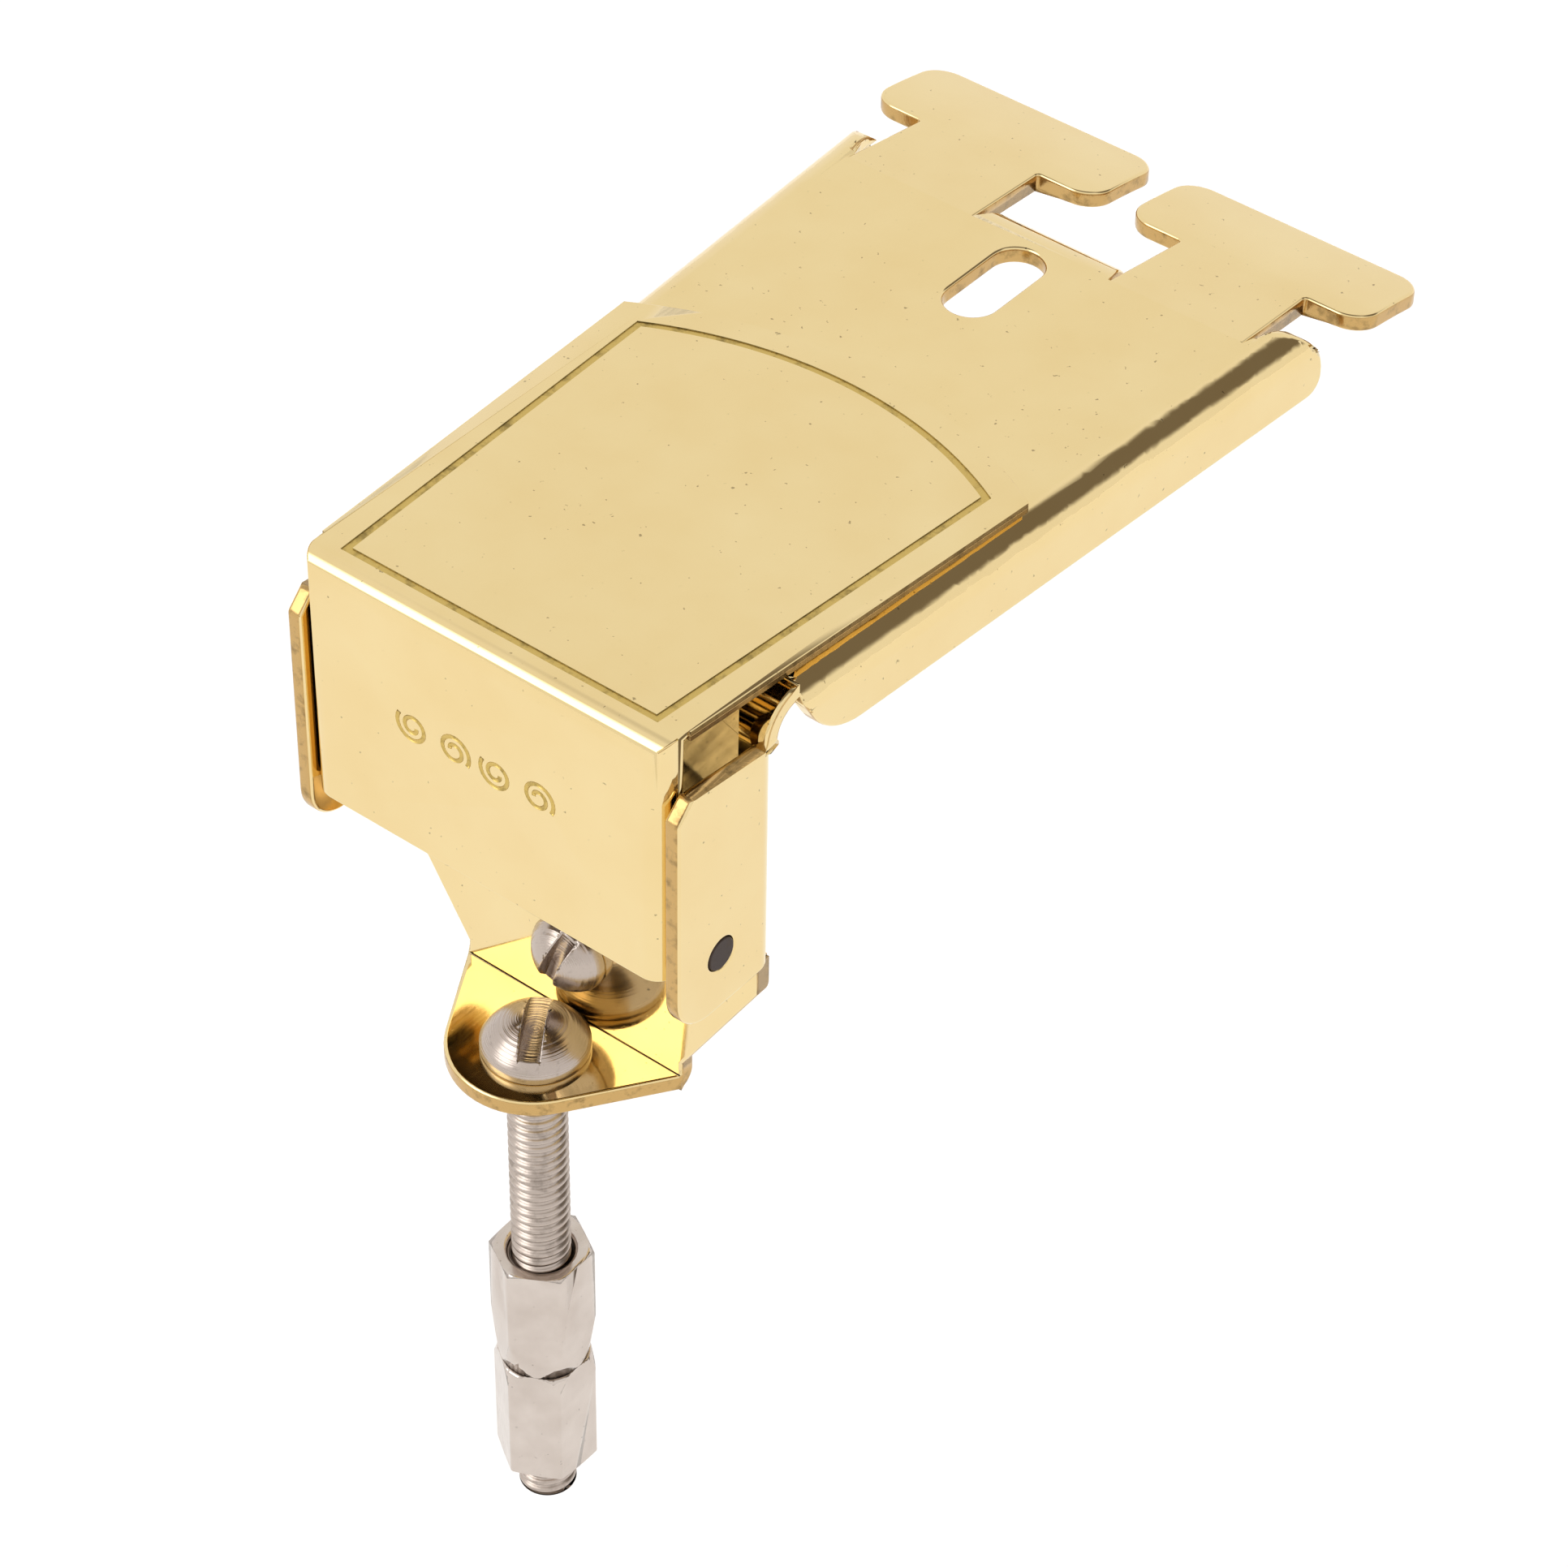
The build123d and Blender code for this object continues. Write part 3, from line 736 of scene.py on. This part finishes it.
class TAILPIECE_OT_hanger_bolt(bpy.types.Operator):
    """Slotted hanger bolt with its cut thread"""
    bl_idname = "tailpiece.hanger_bolt"
    bl_label = "Hanger bolt"

    def execute(self, context):
        size = sizes()
        piece = slotted_screw("hanger_bolt", "hanger_bolt_plated", "turned nickel bolt head", BOLT_OUT,
                              BOLT_SEAT, 180, {
                                  "Crest radius": BOLT_RADIUS, "Depth": size.thread_depth,
                                  "Pitch": size.thread_pitch, "Length": BOLT_LENGTH,
                                  "Tip chamfer": BOLT_CHAMFER})
        finished(piece, "hanger_bolt", "hanger_bolt")
        return {"FINISHED"}


def along_axis(edge):
    """True for a nut's long upright edges."""
    return abs((edge.verts[1].co - edge.verts[0].co).normalized().z) > 0.99


class TAILPIECE_OT_nuts(bpy.types.Operator):
    """Upper nut and lower lock nut"""
    bl_idname = "tailpiece.nuts"
    bl_label = "Nuts"

    def execute(self, context):
        for node in ("upper_nut", "lower_nut"):
            piece = cad_copy(node, node + "_plated")
            rounded(piece, sizes().nut_round, along_axis)
            dress(piece, nickel_plate())
            finished(piece, node, node)
        return {"FINISHED"}


# ---- stage ------------------------------------------------------------------------------

VIEW_AZIMUTH = math.radians(37.8976)
VIEW_ELEVATION = math.radians(42.3523)
VIEW_ROLL = math.radians(1.0126)
VIEW_DISTANCE = 327.0741 * MM
VIEW_AIM = Vector((5.377, 19.101, 14.210)) * MM    # just above the rear of the plate
VIEW_LENS = 114.541                                # on a 36 mm sensor
SENSOR = 36.0

TENT_WHITE = (0.98, 0.97, 0.96, 1.0)
# softboxes and dark gaps: direction, degrees within which it is full, degrees beyond which it is gone, shade
TENT_PANELS = (
    ((0.0, 0.1, 1.0), 14.0, 34.0, (0.22, 0.20, 0.18, 1.0)),
    ((0.55, 0.60, 0.70), 16.0, 30.0, (0.20, 0.17, 0.14, 1.0)),
    ((-0.45, -0.70, 0.60), 10.0, 24.0, (3.0, 3.0, 3.0, 1.0)),
    ((-0.454, 0.583, 0.674), 16.0, 26.0, (0.96, 0.95, 0.92, 1.0)),
    ((0.35, -0.93, 0.02), 6.0, 30.0, (0.86, 0.85, 0.82, 1.0)),
)
FLOOR_GLOW = 0.2
FLOOR_HALF = 3.0          # metres
FLOOR_DROP = 0.10         # below the part, so that its shadow spreads out


def add_camera():
    back = Vector((math.sin(VIEW_AZIMUTH) * math.cos(VIEW_ELEVATION),
                   -math.cos(VIEW_AZIMUTH) * math.cos(VIEW_ELEVATION), math.sin(VIEW_ELEVATION)))
    right = Vector((math.cos(VIEW_AZIMUTH), math.sin(VIEW_AZIMUTH), 0.0))
    up = back.cross(right)
    turn = Matrix((right, up, back)).transposed() @ Matrix.Rotation(VIEW_ROLL, 3, "Z")
    data = bpy.data.cameras.new("studio camera")
    data.lens = VIEW_LENS
    data.sensor_width = SENSOR
    data.clip_start = 0.01
    data.clip_end = 50.0
    camera = new_object("studio camera", data)
    camera.matrix_world = Matrix.Translation(VIEW_AIM + back * VIEW_DISTANCE) @ turn.to_4x4()
    bpy.context.scene.camera = camera


def add_tent(scene):
    """A white tent round the part, with its softboxes and dark gaps blended in."""
    world = bpy.data.worlds.new("studio tent")
    world.use_nodes = True
    tree = world.node_tree
    tree.nodes.clear()
    way = add_node(tree, "ShaderNodeTexCoord").outputs["Generated"]
    shade = TENT_WHITE
    for direction, full, gone, panel in TENT_PANELS:
        unit = tuple(Vector(direction).normalized())
        near = add_node(tree, "ShaderNodeVectorMath", {0: way, 1: unit}, operation="DOT_PRODUCT")
        share = add_node(tree, "ShaderNodeMapRange", {
            "Value": near.outputs["Value"], "From Min": math.cos(math.radians(gone)),
            "From Max": math.cos(math.radians(full))}, interpolation_type="SMOOTHSTEP").outputs[0]
        shade = mixed(tree, share, shade, panel)
    glow = add_node(tree, "ShaderNodeBackground", {"Color": shade, "Strength": 1.0})
    add_node(tree, "ShaderNodeOutputWorld", {0: glow.outputs[0]})
    scene.world = world


class TAILPIECE_OT_stage(bpy.types.Operator):
    """Pale floor, soft studio light and the camera"""
    bl_idname = "tailpiece.stage"
    bl_label = "Stage"

    def execute(self, context):
        mesh = bpy.data.meshes.new("floor")
        z = CAD_BOX[0][2] - FLOOR_DROP
        around = ((-1, -1), (1, -1), (1, 1), (-1, 1))
        mesh.from_pydata([(x * FLOOR_HALF, y * FLOOR_HALF, z) for x, y in around], [], [(0, 1, 2, 3)])
        floor = new_object("floor", mesh)
        pale, tree = new_material("pale paper")
        shader = add_node(tree, "ShaderNodeBsdfPrincipled", {
            "Base Color": finishes().floor, "Roughness": 1.0, "Specular IOR Level": 0.0,
            "Emission Color": finishes().floor, "Emission Strength": FLOOR_GLOW})
        add_node(tree, "ShaderNodeOutputMaterial", {0: shader.outputs[0]})
        dress(floor, pale)
        add_tent(context.scene)
        context.scene.view_settings.view_transform = "Standard"
        add_camera()
        return {"FINISHED"}


class TAILPIECE_PT_panel(bpy.types.Panel):
    bl_idname = "TAILPIECE_PT_panel"
    bl_label = "Banjo tailpiece"
    bl_space_type = "VIEW_3D"
    bl_region_type = "UI"
    bl_category = "Tailpiece"

    def draw(self, context):
        for group in (context.scene.tailpiece_sizes, context.scene.tailpiece_finishes):
            box = self.layout.box()
            for key in group.__annotations__:
                box.prop(group, key)
        for operator in OPERATORS:
            self.layout.operator(operator.bl_idname)


GROUPS = (TailpieceSizes, TailpieceFinishes)
OPERATORS = (TAILPIECE_OT_base_plate, TAILPIECE_OT_string_cover, TAILPIECE_OT_hinge_pin,
             TAILPIECE_OT_adjusting_screw, TAILPIECE_OT_hanger_bolt, TAILPIECE_OT_nuts, TAILPIECE_OT_stage)


def register():
    for cls in (*GROUPS, *OPERATORS, TAILPIECE_PT_panel):
        bpy.utils.register_class(cls)
    bpy.types.Scene.tailpiece_sizes = PointerProperty(type=TailpieceSizes)
    bpy.types.Scene.tailpiece_finishes = PointerProperty(type=TailpieceFinishes)


def unregister():
    del bpy.types.Scene.tailpiece_finishes
    del bpy.types.Scene.tailpiece_sizes
    for cls in reversed((*GROUPS, *OPERATORS, TAILPIECE_PT_panel)):
        bpy.utils.unregister_class(cls)


def main():
    register()
    for operator in OPERATORS:
        group, name = operator.bl_idname.split(".")
        getattr(getattr(bpy.ops, group), name)()
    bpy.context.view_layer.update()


if __name__ == "__main__":
    main()
